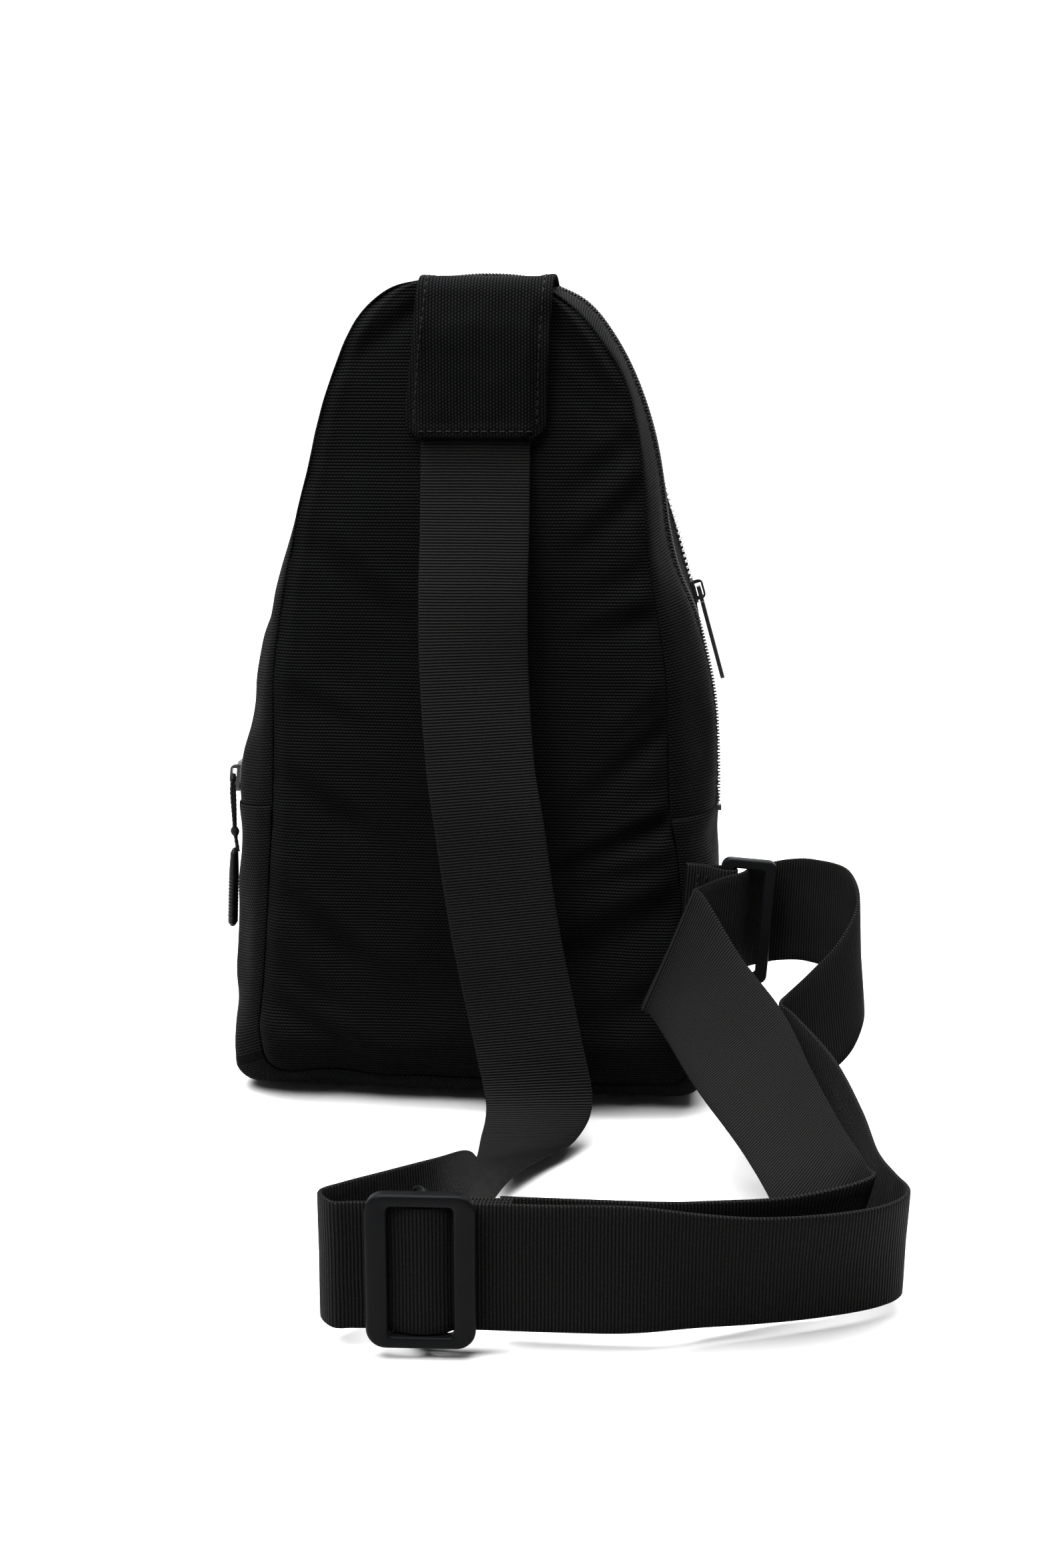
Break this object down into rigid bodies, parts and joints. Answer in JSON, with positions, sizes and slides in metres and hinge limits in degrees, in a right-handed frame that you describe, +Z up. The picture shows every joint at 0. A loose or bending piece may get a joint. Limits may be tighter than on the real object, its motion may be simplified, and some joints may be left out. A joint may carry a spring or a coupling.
{
  "type": "sling bag",
  "caption": "Black woven sling bag with a padded back panel, a yoke-mounted webbing strap, a three-bar adjuster, a rectangular strap ring, an arched main zipper and a zipped front pocket.",
  "frame": {"origin": "on the floor under the middle of the back panel's bottom edge", "axes": "+X to the right seen from the back panel's side, +Y from the back panel towards the bag's front, +Z up"},
  "size_m": [0.255, 0.271, 0.3067],
  "materials": {
    "oxford_cloth": "woven nylon oxford, matt",
    "webbing": "ribbed nylon webbing",
    "lining_cloth": "thin plain polyester lining",
    "foam": "closed-cell foam sheet",
    "binding_tape": "folded woven tape",
    "zipper_tape": "herringbone zipper tape",
    "nylon_coil": "nylon coil",
    "metal_teeth": "silver-coloured teeth",
    "black_metal": "black enamelled zinc",
    "moulded_plastic": "moulded acetal, fine satin",
    "pull_cord": "braided cord",
    "pull_grip": "moulded soft plastic"
  },
  "bodies": {
    "root": {"back_panel": "oxford_cloth", "back_foam": "foam", "back_lining": "lining_cloth", "inner_slip_pocket": "lining_cloth", "gusset_lower": "oxford_cloth", "gusset_lining": "lining_cloth", "gusset_rear_strip": "oxford_cloth", "back_seam_binding": "binding_tape", "front_lower_panel": "oxford_cloth", "zip_tape_rear": "zipper_tape", "zip_coil_rear": "nylon_coil", "zip_end_stops": "black_metal", "yoke_outer": "oxford_cloth", "yoke_inner": "oxford_cloth", "shoulder_webbing": "webbing", "ring_tab": "webbing"},
    "front_flap": {"gusset_front_strip": "oxford_cloth", "zip_tape_front": "zipper_tape", "zip_coil_front": "nylon_coil", "front_pocket_panel": "oxford_cloth", "pocket_back_lining": "lining_cloth", "front_seam_binding": "binding_tape", "pocket_tape_rear": "zipper_tape", "pocket_tape_front": "zipper_tape", "pocket_teeth_rear": "metal_teeth", "pocket_teeth_front": "metal_teeth"},
    "main_slider": {"main_slider": "black_metal"},
    "main_pull": {"main_pull_cord": "pull_cord", "main_pull_grip": "pull_grip"},
    "pocket_slider": {"pocket_slider": "black_metal"},
    "pocket_pull": {"pocket_pull_tab": "black_metal"},
    "strap_ring": {"rectangular_ring": "moulded_plastic"},
    "adjuster": {"tri_glide": "moulded_plastic", "strap_end_loop": "webbing"}
  },
  "joints": [
    {"name": "main_compartment_open", "type": "hinge", "parent": "root", "child": "front_flap", "pos_m": [0, 0.0813, 0.108], "axis": [-1, 0, 0], "range_deg": [0, 60]},
    {"name": "main_slider_travel", "type": "slide", "parent": "root", "child": "main_slider", "axis": [0.0946, 0, 0.9955], "range_m": [0, 0.04]},
    {"name": "main_pull_swing", "type": "hinge", "parent": "main_slider", "child": "main_pull", "pos_m": [-0.10117, 0.036, 0.11844], "axis": [0, 1, 0], "range_deg": [0, 150]},
    {"name": "pocket_slider_travel", "type": "slide", "parent": "front_flap", "child": "pocket_slider", "axis": [-0.2762, 0, 0.9611], "range_m": [0, 0.012]},
    {"name": "pocket_pull_swing", "type": "hinge", "parent": "pocket_slider", "child": "pocket_pull", "pos_m": [0.07957, 0.0757, 0.19004], "axis": [0, -1, 0], "range_deg": [0, 150]},
    {"name": "strap_ring_swing", "type": "hinge", "parent": "root", "child": "strap_ring", "pos_m": [0.091, -0.003, 0.076], "axis": [0.0698, 0, 0.9976], "range_deg": [-8, 8]},
    {"name": "adjuster_travel", "type": "slide", "parent": "root", "child": "adjuster", "axis": [0.9985, 0.0549, 0], "range_m": [0, 0.03]}
  ]
}
